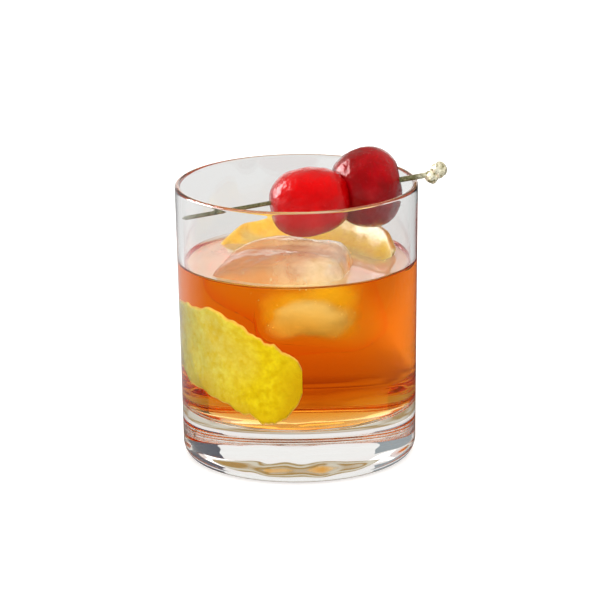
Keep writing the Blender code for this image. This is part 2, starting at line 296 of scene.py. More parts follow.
def makeGlass():
    # A profile carried round Z: inner floor, fillet, inner wall, full-round rim, outer wall,
    # rounded foot and a shallow hollow under it
    g = glassSettings
    filletZ = g["floorHeight"] + g["floorRound"]
    filletR = innerRadius(filletZ) - g["floorRound"]
    bead = g["rimWall"] / 2
    floorR = np.array([2, 8, 16, 24, 29, 31.5, filletR - 0.4])
    wallTop = g["height"] - bead - 0.4
    wallZ = np.array([filletZ + 0.5, filletZ + 3, 34, 46, 58, 68, 78, 88, 92, wallTop])
    outerZ = np.array([wallTop, 92, 86, 74, 62, 50, 38, 26, 14, 8, g["footRoundHeight"] + 0.4])
    share = (g["height"] - bead - outerZ) / (g["height"] - bead - g["footRoundHeight"])
    outerR = g["rimRadius"] + (g["footRadius"] - g["rimRadius"]) * share
    hollowR = np.array([*(g["footRing"] + np.array([3.5, 1.5, 0])), 29, 27.5, 25, 21, 16, 10, 4, 1])
    hollowZ = g["footHollow"] * np.clip(1 - (hollowR / g["footRing"]) ** 2, 0, 1) ** 0.8
    profile = np.concatenate([
        np.stack([floorR, np.full(len(floorR), g["floorHeight"])], -1),
        arcPoints(filletR, filletZ, g["floorRound"], g["floorRound"], -90, 0, 14),
        np.stack([innerRadius(wallZ), wallZ], -1),
        arcPoints(g["rimRadius"] - bead, g["height"] - bead, bead, bead, 180, 0, 17),
        np.stack([outerR, outerZ], -1),
        arcPoints(g["footRadius"] - g["footRoundWidth"], g["footRoundHeight"], g["footRoundWidth"],
                  g["footRoundHeight"], 0, -90, 16),
        np.stack([hollowR, hollowZ], -1),
    ])
    rings = turned(profile, g["around"])
    # slow waves left by the mould under the foot, none on the ring that stands
    level, radius = rings[..., 2], np.hypot(rings[..., 0], rings[..., 1])
    under = np.clip((g["footHollow"] + 0.1 - level) / 0.1, 0, 1)
    under = under * np.clip((g["footRing"] - radius) / g["wavesFade"], 0, 1)
    rings[..., 2] += under * g["baseWaves"] * (1 + waves(rings, 9, g["baseWaveLength"], 14))
    points, faces = closedGrid(rings)
    return makePiece("tumbler", points, faces, glassMaterial(), "glass")


# Ice
iceSettings = {
    "top": {("left", "front"): (-19.0, -24.0, 73.4), ("right", "front"): (14.0, -27.0, 73.0),
            ("left", "back"): (-8.5, 3.0, 78.0), ("right", "back"): (17.0, -1.5, 75.0)},
    "bottom": {("left", "front"): (-12.0, -27.0, 42.5), ("right", "front"): (21.0, -24.0, 41.0),
               ("left", "back"): (-10.0, -2.0, 44.5), ("right", "back"): (26.0, 0.0, 43.5)},
    "tipReach": 14.0, "leftDrop": 5.0, "frontBelly": 5.5, "fullness": 8.0,
    "rows": 120, "columns": 192, "lumps": 0.45, "ripples": 0.10, "overlap": 0.12,
    "index": 1.36, "sunkIndex": 1.003, "level": (66.6, 67.4), "frostLeft": 0.26, "frostRight": 0.66,
    "paintedTintLeft": (1.0, 0.70, 0.28), "paintedTintRight": (1.0, 0.86, 0.64),
}


def icePoint(side, depth, height):
    # Blend of the eight corners by side, depth and height from -1 to 1; the left is drawn out to
    # a tip and the front swells
    s = iceSettings
    place = np.zeros(side.shape + (3,))
    for corners, high in ((s["top"], (1 + height) / 2), (s["bottom"], (1 - height) / 2)):
        for (across, along), corner in corners.items():
            share = high * (1 + (side if across == "right" else -side)) / 2
            share = share * (1 + (depth if along == "back" else -depth)) / 2
            place += share[..., None] * np.array(corner)
    nearLevel = np.maximum(0, 1 - ((height - 0.45) / 0.8) ** 2)
    place[..., 0] -= s["tipReach"] * np.maximum(0, -side) ** 2 * nearLevel * (1 - 0.7 * depth ** 4)
    place[..., 2] -= s["leftDrop"] * np.maximum(0, -side - 0.2) ** 2 * np.clip((height + 0.2) / 1.2, 0, 1)
    place[..., 1] -= s["frontBelly"] * np.maximum(0, -depth) ** 2 * nearLevel * (1 - side ** 2)
    return place


def iceRings(grow):
    # Directions on a sphere filled out towards a cube, mapped to the block, then moved along
    # the normals by slow melt lumps and finer ripples
    s = iceSettings
    d = ballOf(np.linspace(0.012, math.pi - 0.012, s["rows"])[:, None], s["columns"])
    full = (np.abs(d) ** s["fullness"]).sum(-1) ** (-1 / s["fullness"])
    q = d * full[..., None]
    place = icePoint(q[..., 0], q[..., 1], q[..., 2])
    move = s["lumps"] * waves(place, 9, 16, 3) + s["ripples"] * waves(place, 12, 4.5, 8)
    return place + gridNormals(place) * (move + grow)[..., None]


def iceMaterial():
    # Above the drink frosted and bending light, more frosted to the right; below it clear, and
    # hardly bending light against the drink
    s = iceSettings
    material, tree, coords = newMaterial("clearIce")
    x, _, z = addNode(tree, "SeparateXYZ", {0: coords}).outputs
    above = rangeOf(tree, z, s["level"][0] * mm, s["level"][1] * mm)
    frost = rangeOf(tree, noiseOf(tree, coords, 210, 5.0, 0.65, 0.3), 0.32, 0.68, 0.55, 1.0)
    frost = mathOf(tree, "MULTIPLY", frost, above,
                   rangeOf(tree, x, -0.012, 0.012, s["frostLeft"], s["frostRight"]))
    # painted light: amber on the left and beige on the right, for the drink's colour seen through the ice
    # and falling on its frost
    return finishSurface(material, {
        "Base Color": mixOf(tree, rangeOf(tree, x, -0.012, 0.010), s["paintedTintLeft"], s["paintedTintRight"]),
        "Roughness": rangeOf(tree, noiseOf(tree, coords, 130, 2.0), 0.35, 0.75, 0.03, 0.2),
        "IOR": rangeOf(tree, above, 0.0, 1.0, s["sunkIndex"], s["index"]),
        "Transmission Weight": mathOf(tree, "SUBTRACT", 1.0, frost),
        "Normal": bumpOf(tree, noiseOf(tree, coords, 240, 3.0, 0.55, 0.4), 0.4, 0.0006),
        "Specular Tint": mixOf(tree, above, (0, 0, 0), (0.7, 0.7, 0.7))}, lampsPass=True)


def makeIce():
    # The block itself, at its full size
    points, faces = closedGrid(iceRings(0.0))
    return makePiece("iceBlock", points, faces, iceMaterial(), "ice")


heartSettings = {
    # groups of puffs: how many, middle, spread, smallest and largest half size, strength
    "puffs": ((90, (4.6, -19.8, 53.6), (5.0, 1.7, 2.0), (2.6, 5.2), 0.20),
              (36, (6.5, -13.0, 55.0), (9.5, 2.6, 4.2), (4.0, 7.5), 0.14)),
    "within": ((-11.5, -26.0, 45.0), (18.3, -4.0, 65.5)),
    "rows": 14, "columns": 22, "lumps": 0.25, "seed": 19,
    "bubbles": 90, "bubbleSize": (0.10, 0.28), "bubbleSeed": 5,
}


def heartMaterial():
    # Cloudy ice: cover falls off from the middle of each ball as a power of how it faces the eye;
    # the faint balls are painted amber and the strong ones a warm milk: painted light, the drink's colour
    # on the light that reaches them
    material, tree, coords = newMaterial("cloudyIce")
    strength = attributeOf(tree, "strength")
    patch = noiseOf(tree, coords, 260, 4.0, 0.6, 0.8)
    cover = mathOf(tree, "POWER", rangeOf(tree, facingOf(tree), 0.0, 0.92, 1.0, 0.0), 1.7)
    cover = mathOf(tree, "MULTIPLY", cover, strength, rangeOf(tree, patch, 0.30, 0.60, 0.8, 1.0))
    # painted light: both tones carry the amber that the light would pick up in the drink on its way in
    glow = rampOf(tree, patch, [(0.3, (0.84, 0.55, 0.01)), (0.7, (0.90, 0.68, 0.02))])
    milk = rampOf(tree, patch, [(0.3, (1.0, 0.92, 0.66)), (0.7, (1.0, 0.98, 0.86))])
    return finishSurface(material, {
        "Base Color": mixOf(tree, rangeOf(tree, strength, 0.15, 0.18), glow, milk),
        "Roughness": 0.7, "Alpha": cover})


def bubbleMaterial():
    # Pale, slightly uneven beads
    material, tree, coords = newMaterial("iceBubble")
    tone = rampOf(tree, noiseOf(tree, coords, 500), [(0.3, (0.75, 0.7, 0.6)), (0.7, (1.0, 0.98, 0.92))])
    return finishSurface(material, {"Base Color": tone, "Roughness": 0.2, "IOR": 1.31})


def makeHeart():
    # Groups of see-through balls, seeded round a middle with a normal spread, kept within the block
    # and slightly lumpy, so that their overlap is densest in the middle; and small bubbles
    h = heartSettings
    rng = np.random.default_rng(h["seed"])
    d = ballOf(np.linspace(0.10, math.pi - 0.10, h["rows"])[:, None], h["columns"])
    points, faces, strengths = [], [], []
    for count, middle, spread, sizes, strength in h["puffs"]:
        centres = np.array(middle) + rng.normal(size=(count, 3)).clip(-1.7, 1.7) * np.array(spread)
        halves = rng.uniform(*sizes, (count, 1)) * np.array([1.2, 0.9, 0.85])
        centres = np.clip(centres, h["within"][0] + halves, h["within"][1] - halves)
        for centre, half in zip(centres, halves):
            rings = centre + d * half
            rings = rings + d * (h["lumps"] * waves(rings, 10, 7, 21))[..., None]
            puffPoints, puffFaces = closedGrid(rings)
            first = len(points) * len(puffPoints)
            points.append(puffPoints)
            faces += [[k + first for k in face] for face in puffFaces]
            strengths.append(np.full(len(puffPoints), strength))
    heart = makePiece("iceHeart", np.concatenate(points), faces, heartMaterial())
    giveAttribute(heart, "strength", np.concatenate(strengths))

    rng = np.random.default_rng(h["bubbleSeed"])
    count = h["bubbles"]
    q = rng.uniform(-0.72, 0.72, (count, 3))
    q[: count // 3] = rng.normal((0.75, -0.1, 0.72), (0.10, 0.35, 0.10), (count // 3, 3)).clip(-0.86, 0.86)
    centres = icePoint(q[:, 0], q[:, 1], q[:, 2])
    size = rng.uniform(*h["bubbleSize"], count)
    ballPoints, ballFaces = closedGrid(ballOf(np.linspace(0.5, math.pi - 0.5, 4)[:, None], 6))
    ballPoints[-2:] = [[0, 0, 1], [0, 0, -1]]
    points = (centres[:, None] + ballPoints[None] * size[:, None, None]).reshape(-1, 3)
    faces = [[k + i * len(ballPoints) for k in face] for i in range(count) for face in ballFaces]
    makePiece("iceBubbles", points, faces, bubbleMaterial())


# Drink
drinkSettings = {"open": 67.2, "climb": 1.4, "climbWidth": 0.9, "reach": 0.15, "around": 256,
                 "index": 1.36, "colour": (0.98, 0.725, 0.03), "density": 100.0, "paintedSheen": 0.42,
                 "sheenColour": (0.95, 0.72, 0.40), "sheenLevel": 67.0, "sheenEdge": (37.2, 37.9),
                 "room": (36.1, 66.5), "roomRadius": 37.1}


def drinkMaterial():
    # Amber that soaks up light with depth. On its open surface lies a painted sheen, a pale layer that
    # shows at a low view, and where it meets the sunk ice the light hardly bends
    d = drinkSettings
    material, tree, coords = newMaterial("amberSpirit")
    soak = addNode(tree, "VolumeAbsorption", {"Color": (*d["colour"], 1), "Density": d["density"]})
    x, y, z = addNode(tree, "SeparateXYZ", {0: coords}).outputs
    radius = radiusOf(tree, x, y)
    tint = mixOf(tree, noiseOf(tree, coords, 30, 1.0), (1.0, 0.99, 0.97), (1.0, 1.0, 1.0))
    step = 0.0001
    level, inner, outer = d["sheenLevel"] * mm, d["sheenEdge"][0] * mm, d["sheenEdge"][1] * mm
    surface = mathOf(tree, "MULTIPLY", rangeOf(tree, z, level - step, level + step),
                     rangeOf(tree, radius, inner, outer, 1.0, 0.0))
    swirl = rangeOf(tree, noiseOf(tree, coords, 60, 2.0, 0.5, 0.3), 0.3, 0.7,
                    0.85 * d["paintedSheen"], 1.15 * d["paintedSheen"])
    # painted sheen: pale on the open surface, stronger where the surface turns from the eye
    paintedSheen = mathOf(tree, "MULTIPLY", surface, swirl, rangeOf(tree, facingOf(tree), 0.30, 0.66, 0.12, 1.0))
    foot, top, side = d["room"][0] * mm, d["room"][1] * mm, d["roomRadius"] * mm
    inside = mathOf(tree, "MULTIPLY", rangeOf(tree, radius, side - step, side + step, 1.0, 0.0),
                    rangeOf(tree, z, top - step, top + step, 1.0, 0.0),
                    rangeOf(tree, z, foot - step, foot + step))
    return finishSurface(material, {
        "Base Color": mixOf(tree, surface, tint, d["sheenColour"]), "Roughness": 0.0,
        "IOR": rangeOf(tree, inside, 0.0, 1.0, d["index"], 1.0),
        "Transmission Weight": mathOf(tree, "SUBTRACT", 1.0, paintedSheen), "Specular Tint": (0, 0, 0, 1),
        "Normal": bumpOf(tree, noiseOf(tree, coords, 40, 1.0), 0.04, 0.0005)},
        soak.outputs[0], lampsPass=True)


def makeDrink():
    # A profile carried round Z: flat surface that climbs the wall as a falling exponential, the
    # wall, the fillet and the floor, all reaching just into the glass; then the ice's room is cut out
    g, d = glassSettings, drinkSettings
    filletZ = g["floorHeight"] + g["floorRound"]
    filletR = innerRadius(filletZ) - g["floorRound"]
    edge = innerRadius(d["open"] + d["climb"]) + d["reach"]
    fromEdge = np.array([4.2, 3.2, 2.5, 2.0, 1.6, 1.25, 0.95, 0.7, 0.5, 0.32, 0.15, 0])
    topR = np.concatenate([[2], np.arange(6, 34, 4), edge - fromEdge])
    topZ = d["open"] + d["climb"] * np.exp(-(edge - topR) / d["climbWidth"])
    wallZ = np.array([67.8, 66, 62, 54, 46, 38, 30, filletZ + 2, filletZ + 0.4])
    reach = g["floorRound"] + d["reach"]
    floorR = np.array([filletR - 0.5, 30, 22, 14, 6, 1])
    profile = np.concatenate([
        np.stack([topR, topZ], -1),
        np.stack([innerRadius(wallZ) + d["reach"], wallZ], -1),
        arcPoints(filletR, filletZ, reach, reach, 0, -90, 12),
        np.stack([floorR, np.full(len(floorR), g["floorHeight"] - d["reach"])], -1),
    ])
    points, faces = closedGrid(turned(profile, d["around"]))
    drink = makePiece("spirit", points, faces, drinkMaterial(), "drink")
    roomPoints, roomFaces = closedGrid(iceRings(-iceSettings["overlap"]))
    room = addMesh("iceRoom", roomPoints * mm, roomFaces)
    cut = drink.modifiers.new("iceRoom", "BOOLEAN")
    cut.operation, cut.solver, cut.object = "DIFFERENCE", "EXACT", room
    bpy.context.view_layer.update()
    carved = bpy.data.meshes.new_from_object(drink.evaluated_get(bpy.context.evaluated_depsgraph_get()))
    drink.modifiers.clear()
    # the cut leaves slivers thinner than a few microns, and pairs of faces back to back
    clean, sliver = bmesh.new(), 4e-6
    clean.from_mesh(carved)
    bmesh.ops.remove_doubles(clean, verts=clean.verts, dist=sliver)
    bmesh.ops.dissolve_degenerate(clean, edges=clean.edges, dist=sliver)
    bmesh.ops.triangulate(clean, faces=clean.faces)
    clean.to_mesh(carved)
    clean.free()
    corners, places = np.empty(len(carved.loops), dtype=np.int32), np.empty(3 * len(carved.vertices))
    carved.loops.foreach_get("vertex_index", corners)
    carved.vertices.foreach_get("co", places)
    corners = corners.reshape(-1, 3)
    which, count = np.unique(np.sort(corners, axis=1), axis=0, return_inverse=True, return_counts=True)[1:]
    corners = corners[count[which.ravel()] == 1]
    carved.clear_geometry()
    carved.from_pydata(places.reshape(-1, 3).tolist(), [], corners.tolist())
    carved.polygons.foreach_set("use_smooth", np.ones(len(corners), dtype=bool))
    drink.data = carved
    carved.set_sharp_from_angle(angle=math.radians(38))
    bpy.data.objects.remove(room)
    return drink


# Peel strips
peelSettings = {
    "thickness": 2.4, "rows": 260, "faceColumns": 46, "edgeColumns": 10,
    "frontStations": ((-1.2, 31.4, 39.6), (0.6, 27.2, 43.2), (4.4, 22.8, 45.6), (9.4, 20.2, 48.4),
                      (16.0, 22.0, 51.6), (26.6, 25.6, 56.8), (43.0, 28.8, 56.6), (56.0, 32.0, 54.2),
                      (63.0, 38.5, 48.0)),
    "frontReach": 66.0, "frontClearance": 0.2, "scallop": 0.42, "sway": 0.35, "pores": 1500,
    "poreRadius": 0.42, "poreDepth": 0.16, "lumpDepth": 0.14, "pithLumps": 0.3,
    "backUpper": ((-27.0, 21.0, 67.0), (-20.6, 26.0, 71.9), (-11.5, 29.0, 73.9), (2.0, 30.0, 74.4),
                  (15.0, 26.5, 75.4), (25.0, 18.5, 76.0), (30.6, 9.5, 74.8), (33.2, 4.0, 70.0)),
    "backLower": ((-24.0, 12.0, 64.5), (-17.0, 14.5, 65.6), (-8.5, 15.0, 66.0), (2.5, 13.5, 66.0),
                  (12.0, 9.5, 65.8), (19.5, 2.5, 65.6), (24.5, -4.5, 65.6), (29.4, -4.5, 66.4)),
    "backReach": 72.0, "backBow": 3.4, "backSway": 0.012, "backLumps": 0.12, "backGold": 0.7,
}


def stripSection():
    # Once round a flat strip with half-round edges: share along the faces (-1 to 1), then the
    # sine and cosine that carry the thickness; sine 1 on the first face and -1 on the other
    p = peelSettings
    n, m = p["faceColumns"], p["edgeColumns"]
    flat = np.linspace(-1, 1, n)
    arc = np.linspace(math.pi / 2, -math.pi / 2, m + 2)[1:-1]
    share = np.concatenate([flat, np.ones(m), flat[::-1], -np.ones(m)])
    angle = np.concatenate([np.full(n, math.pi / 2), arc, np.full(n, -math.pi / 2), math.pi - arc[::-1]])
    return share, np.sin(angle), np.cos(angle)


def stripGrid(halfWidth, reach):
    # Place across (mm), place through (mm) and along (0 to 1) for every ring of a strip whose
    # two ends close in a quarter round; reach is the strip's length in mm
    p = peelSettings
    share, sine, cosine = stripSection()
    half = p["thickness"] / 2
    along = np.linspace(0, 1, p["rows"])
    lead = half / reach
    toEnd = np.clip(np.minimum(along, 1 - along) / lead, 0, 1)
    close = np.sqrt(np.clip(1 - (1 - toEnd) ** 2, 0.004, 1))[:, None]
    thick = half * close
    width = halfWidth(along)[:, None] - half + thick
    across = share * (width - thick) + thick * cosine
    return along[:, None] + 0 * across, across, thick * sine + 0 * across, width + 0 * across


def poreDepth(points, count, seed, radius, low, high):
    # Shallow round dents at seeded places in the (u, v) plane, deepest at their middles
    rng = np.random.default_rng(seed)
    centres = rng.uniform(low, high, (count, 2))
    blocks = np.array_split(points.reshape(-1, 2), 8)
    gap = np.concatenate([((block[:, None] - centres[None]) ** 2).sum(-1).min(1) for block in blocks])
    return np.exp(-gap / radius ** 2).reshape(points.shape[:-1])


def peelMaterial(name, wet, zestDark, zestLight, pithColours, index=1.45, glow=0.0):
    # Zest where the zest attribute is 1, pith where it is 0, with pores, mottling and a wet gloss.
    # Tone pales the zest and picks the pith's colour, the gold share turns the zest golden, and glow is
    # painted light on the pith, as if light came through it. On the front strip tone and the gold share are
    # painted light and shade
    material, tree, coords = newMaterial(name)
    zestShare, toneShare, goldAndShadeShare = (attributeOf(tree, layer) for layer in ("zest", "tone", "goldAndShade"))
    mottle = noiseOf(tree, coords, 420, 5.0, 0.62)
    zest = rampOf(tree, mottle, [(0.36, zestDark), (0.64, zestLight)])
    paleZest = mixOf(tree, rangeOf(tree, mottle, 0.33, 0.68), (0.92, 0.72, 0.06), (1.0, 0.93, 0.26))
    # on the front strip the pale zest is painted light and the golden turn is painted shade
    skin = mixOf(tree, goldAndShadeShare, mixOf(tree, toneShare, zest, paleZest), (0.70, 0.40, 0.004))
    fibres = rangeOf(tree, noiseOf(tree, coords, 420, 3.0, 0.6, 1.0), 0.35, 0.7, 0.0, 0.5)
    pith = mixOf(tree, fibres, rampOf(tree, toneShare, pithColours), (0.80, 0.50, 0.12), "MULTIPLY")
    pores = addNode(tree, "TexVoronoi", {"Vector": coords, "Scale": 1050.0}, feature="F1")
    height = mathOf(tree, "ADD", pores.outputs["Distance"], noiseOf(tree, coords, 700, 2.0))
    return finishSurface(material, {
        "Base Color": mixOf(tree, zestShare, pith, skin),
        "Roughness": rangeOf(tree, mottle, 0.3, 0.7, 0.28, 0.5),
        "Subsurface Weight": 0.15, "Subsurface Radius": (1.0, 0.7, 0.2), "Subsurface Scale": 0.001,
        "IOR": index, "Coat Weight": wet, "Coat Roughness": 0.3,
        "Normal": bumpOf(tree, height, 0.3, 0.0002),
        "Emission Color": mixOf(tree, zestShare, (1.0, 0.60, 0.18), (0, 0, 0)), "Emission Strength": glow})


def makeFrontPeel():
    # The strip unrolled on the wall: arc length becomes an angle, width becomes height and the
    # thickness runs inward; its edges are scalloped and its zest has shallow pores
    p = peelSettings
    stations = np.array(p["frontStations"])

    def halfWidth(along):
        # Half the height between the edges, with two scallops that fade in from the tip
        at = smoothPath(stations, along)
        scallop = p["scallop"] * (np.sin(tau * 9.3 * along + 0.5) + 0.5 * np.sin(tau * 21 * along))
        scallop = scallop * np.clip((along - 0.16) / 0.3, 0.12, 1)
        return (at[:, 2] - at[:, 1]) / 2 + scallop

    along, across, through, width = stripGrid(halfWidth, p["frontReach"])
    at = smoothPath(stations, along[:, 0])
    middle = ((at[:, 1] + at[:, 2]) / 2)[:, None]
    middle = middle + p["sway"] * np.sin(tau * 6.1 * along + 1.0) * np.clip((along - 0.1) / 0.2, 0, 1)
    arcLength = at[:, :1] + 0 * across
    z = middle + across
    half = p["thickness"] / 2
    outer = np.clip(through / half, 0, 1)
    unrolled = np.stack([arcLength, z], -1)
    pores = poreDepth(unrolled, p["pores"], 11, p["poreRadius"], (-4, 18), (68, 62))
    lumps = waves(np.stack([arcLength, z, 0 * z], -1), 10, 7, 12)
    dents = p["poreDepth"] * pores + p["lumpDepth"] * (1 + lumps).clip(0)
    inward = half - through + outer * dents + p["frontClearance"]
    inward = inward - (1 - outer) * p["pithLumps"] * lumps
    # it follows the rounding into the glass's floor
    rounding = glassSettings["floorRound"]
    dip = np.clip(glassSettings["floorHeight"] + rounding - z, 0, 4)
    inward = inward + rounding - np.sqrt(rounding ** 2 - dip ** 2)
    radius = innerRadius(z) - inward
    angle = arcLength / glassSettings["innerFloor"]
    rings = np.stack([-radius * np.sin(angle), -radius * np.cos(angle), z], -1)
    points, faces = closedGrid(rings)
    # painted light: the pith and the edges glow warm, as if lit through
    material = peelMaterial("lemonZest", 0.0, (0.78, 0.52, 0.002), (0.95, 0.73, 0.012),
                            [(0.0, (0.80, 0.50, 0.04)), (1.0, (0.90, 0.68, 0.12))], index=1.08, glow=0.35)
    piece = makePiece("peelFront", points, faces, material, "peel_front")
    zest = np.clip((through / half - 0.15) / 0.5, 0, 1)
    zest = zest * np.clip((width - np.abs(across) - 0.15) / 0.6, 0, 1)
    # painted light and shade: paler to the left, darker gold along the lower edge and at the right end,
    # each over a random tone
    soft = waves(np.stack([arcLength, z, 0 * z], -1), 8, 16, 61)
    tone = np.clip((arcLength - 12) / 30 + 0.22 * soft, 0, 1)
    low = np.clip(-across / width - 0.35, 0, 1) + 0.5 * np.clip((9 - arcLength) / 10, 0, 1)
    goldAndShade = np.clip(1.1 * low + 0.35 * soft, 0, 0.85)
    giveAttribute(piece, "zest", zest, (1, 1))
    giveAttribute(piece, "tone", tone, (0.5, 0.5))
    giveAttribute(piece, "goldAndShade", goldAndShade, (0, 0))
    return piece


def backPlace(along, v):
    # Between the lower and upper edge curves, the middle sagging away from the eye
    p = peelSettings
    lower, upper = smoothPath(p["backLower"], along), smoothPath(p["backUpper"], along)
    away = np.array([0.25, 0.75, -0.6]) / np.linalg.norm([0.25, 0.75, -0.6])
    v = v[..., None]
    return lower + (upper - lower) * v + away * p["backBow"] * 4 * v * (1 - v)


def makeBackPeel():
    # The strip's middle surface between two edge curves, thickened along its normal
    p = peelSettings

    def halfWidth(along):
        # Half the distance between the two edge curves
        gap = smoothPath(p["backUpper"], along) - smoothPath(p["backLower"], along)
        return np.linalg.norm(gap, axis=-1) / 2

    along, across, through = stripGrid(halfWidth, p["backReach"])[:3]
    v = 0.5 + across / (2 * halfWidth(along[:, 0]))[:, None]
    v = v + p["backSway"] * np.sin(tau * 7 * along) * (2 * v - 1)
    place = backPlace(along, v)
    step = 0.004
    alongStep = backPlace(np.clip(along + step, 0, 1), v) - backPlace(np.clip(along - step, 0, 1), v)
    acrossStep = backPlace(along, v + step) - backPlace(along, v - step)
    normal = np.cross(alongStep, acrossStep)
    normal /= np.linalg.norm(normal, axis=-1, keepdims=True)
    toEye = np.array([0.0, -0.8, 0.6])
    normal = normal * np.sign((normal * toEye).sum(-1).mean())
    lumps = waves(place, 12, 8, 31)
    half = p["thickness"] / 2
    rings = place + normal * (through * (1 + p["backLumps"] * lumps))[..., None]
    points, faces = closedGrid(rings)
    material = peelMaterial("lemonPith", 0.1, (0.72, 0.26, 0.002), (0.90, 0.45, 0.01),
                            [(0.0, (0.60, 0.40, 0.07)), (0.14, (0.67, 0.46, 0.12)),
                             (0.30, (0.84, 0.49, 0.03)), (0.48, (0.87, 0.55, 0.06)),
                             (0.66, (0.93, 0.68, 0.17)), (0.82, (0.98, 0.84, 0.45)),
                             (1.0, (0.66, 0.25, 0.005))])
    piece = makePiece("peelBack", points, faces, material, "peel_back")
    zest = np.clip((-through / half - 0.15) / 0.5, 0, 1)
    giveAttribute(piece, "zest", zest, (1, 1))
    # tone: golden low, cream on the ridge, orange at the rim and the right end; lemon on the left
    leftShare = np.clip((0.55 - along) / 0.35, 0, 1)
    tone = v * 0.86 + 0.16 * np.clip((v - 0.9) / 0.1, 0, 1)
    tone = tone + 0.9 * np.clip((along - 0.9) / 0.1, 0, 1) * (1 - v)
    tone = tone + (0.12 - tone) * 0.8 * leftShare
    tone = tone + 0.10 * lumps * leftShare
    giveAttribute(piece, "tone", np.clip(tone, 0, 1), (0.5, 1))
    giveAttribute(piece, "goldAndShade", np.full(tone.size + 2, p["backGold"]))
    return piece


# Pick and cherries
pickSettings = {
    "tip": (-38.0, -7.8, 84.2), "onRim": (40.1, -0.3, 95.6), "pointRadius": 0.40, "shaftRadius": 0.72,
    "neckRadius": 0.95, "pointLength": 1.0, "neckReach": 6.0, "around": 32,
    "lobes": ({"pastRim": 5.5, "height": -0.9, "radius": 2.45},
              {"pastRim": 8.2, "height": 1.0, "radius": 3.0}),
}


def pickAxes():
    # Tip, then the unit vectors along the pick, across it and upright
    p = pickSettings
    tip, onRim = np.array(p["tip"]), np.array(p["onRim"])
    along = (onRim - tip) / np.linalg.norm(onRim - tip)
    across = np.cross((0, 0, 1), along)
    across /= np.linalg.norm(across)
    return tip, along, across, np.cross(along, across), np.linalg.norm(onRim - tip)


def pickMaterial():
    # Dark, mottled shaft, and past the rim a brighter cast knob
    material, tree, coords = newMaterial("paleBrass")
    x = addNode(tree, "SeparateXYZ", {0: coords}).outputs[0]
    cloud = noiseOf(tree, coords, 650, 3.0, 0.6)
    # darker for the shaft, which lies inside the glass, and brighter from the rim outward
    shaftTone = rampOf(tree, cloud, [(0.32, (0.07, 0.07, 0.025)), (0.66, (0.24, 0.22, 0.11))])
    bright = rampOf(tree, cloud, [(0.36, (0.26, 0.24, 0.11)), (0.52, (0.84, 0.79, 0.58)),
                                  (0.7, (0.95, 0.92, 0.76))])
    return finishSurface(material, {
        "Base Color": mixOf(tree, rangeOf(tree, x, 0.040, 0.044), shaftTone, bright), "Metallic": 0.65,
        "Roughness": rangeOf(tree, noiseOf(tree, coords, 900, 2.0), 0.3, 0.7, 0.20, 0.40),
        "Normal": bumpOf(tree, cloud, 0.25, 0.0001)})


def makePick():
    # Shaft: a circle whose radius grows from the point to the neck, carried along the pick.
    # Knob: two lobes, each a sphere with slow creases, overlapping on the pick's end
    p = pickSettings
    tip, along, across, upright, rimAt = pickAxes()
    material = pickMaterial()
    s = np.concatenate([np.linspace(0, 4, 14), np.linspace(5, rimAt + p["neckReach"], 90)])
    radius = np.interp(s, [0, 0.5, p["pointLength"], rimAt * 0.35, rimAt, rimAt + p["neckReach"]],
                       [p["pointRadius"] * 0.5, p["pointRadius"], p["shaftRadius"], p["shaftRadius"],
                        p["neckRadius"], p["neckRadius"]])
    t = np.arange(p["around"]) * tau / p["around"]
    ring = np.cos(t)[:, None] * across + np.sin(t)[:, None] * upright
    rings = tip + s[:, None, None] * along + radius[:, None, None] * ring[None]
    points, faces = closedGrid(rings)
    makePiece("pickShaft", points, faces, material, "pick")
    theta, phi = np.linspace(0.04, math.pi - 0.04, 44)[:, None], (np.arange(64) * tau / 64)[None]
    d = ballOf(theta, 64)
    for index, lobe in enumerate(p["lobes"]):
        crease = 0.10 * np.sin(3 * phi + 4 * np.cos(theta) + index * 2) * np.sin(theta) ** 2
        size = lobe["radius"] * (0.96 + crease * 0.8 - 0.05 * np.abs(np.sin(2 * phi + 5 * np.cos(theta))))
        shape = d * size[..., None]
        centre = tip + along * (rimAt + lobe["pastRim"]) + upright * lobe["height"]
        rings = centre + shape[..., :1] * across + shape[..., 1:2] * upright + shape[..., 2:] * along
        points, faces = closedGrid(rings)
        makePiece(f"pickKnob{index + 1}", points, faces, material)


cherrySettings = {
    "left": {"centre": (4.4, -4.6, 88.8), "half": (14.7, 11.8, 11.7), "fullness": 2.15, "lump": 0.03,
             "turn": 0.4, "seed": 41, "inner": 0.98, "colours": ((0.40, 0.0, 0.0004), (0.56, 0.0, 0.0008))},
    "right": {"centre": (24.5, 3.2, 91.7), "half": (12.4, 12.0, 13.9), "fullness": 1.92, "lump": 0.03,
              "turn": 2.3, "seed": 57, "inner": 1.12, "colours": ((0.18, 0.0, 0.001), (0.32, 0.0, 0.003))},
    "dimpleDepth": 0.14, "dimpleWidth": 0.42, "room": 0.95, "mostPush": 16.0, "halvings": 18,
    "rows": 150, "columns": 220, "wrinkles": 0.10, "skin": 0.035,
}


def cherryMaterial(name, dark, light):
    # Deep red flesh that light enters, under a finely creased wet skin
    material, tree, coords = newMaterial(name)
    colour = rampOf(tree, noiseOf(tree, coords, 90, 3.0, 0.55), [(0.35, dark), (0.65, light)])
    skin = noiseOf(tree, coords, 620, 4.0, 0.62, 0.6)
    height = mathOf(tree, "ADD", skin, noiseOf(tree, coords, 210, 3.0, 0.6, 1.2))
    return finishSurface(material, {
        "Base Color": colour, "Roughness": rangeOf(tree, skin, 0.3, 0.7, 0.14, 0.30),
        "IOR": 1.36, "Specular Tint": (1.0, 0.25, 0.25, 1), "Subsurface Weight": 0.55,
        "Subsurface Radius": (1.0, 0.08, 0.06), "Subsurface Scale": 0.004, "Coat Weight": 0.3,
        "Coat IOR": 1.42, "Coat Roughness": 0.07, "Normal": bumpOf(tree, height, 0.5, 0.0004)})


